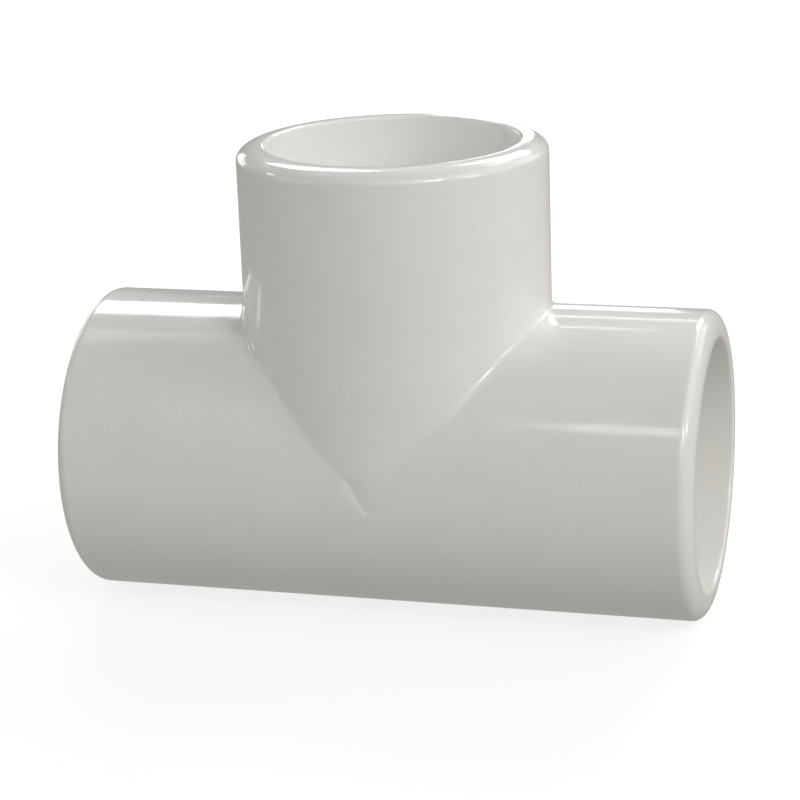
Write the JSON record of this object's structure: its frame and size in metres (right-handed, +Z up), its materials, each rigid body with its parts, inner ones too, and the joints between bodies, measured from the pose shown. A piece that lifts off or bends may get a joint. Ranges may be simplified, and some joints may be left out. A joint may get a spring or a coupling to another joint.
{
  "type": "pipe tee",
  "caption": "Equal slip tee for plastic water pipe: a straight run with a branch at right angles, and plain glue-in sockets with pipe stops inside.",
  "frame": {"origin": "lowest point of the run's outside, below the crossing of the run's and the branch's axes, which is 20.65 mm above it", "axes": "+X along the run, +Z up the branch, and +Y across both, away from the side with the moulding gate's scar"},
  "size_m": [0.0858, 0.0412, 0.0635],
  "materials": {
    "white_pvc": "as-moulded, semi-gloss"
  },
  "bodies": {
    "root": {"tee_body": "white_pvc"}
  },
  "joints": []
}
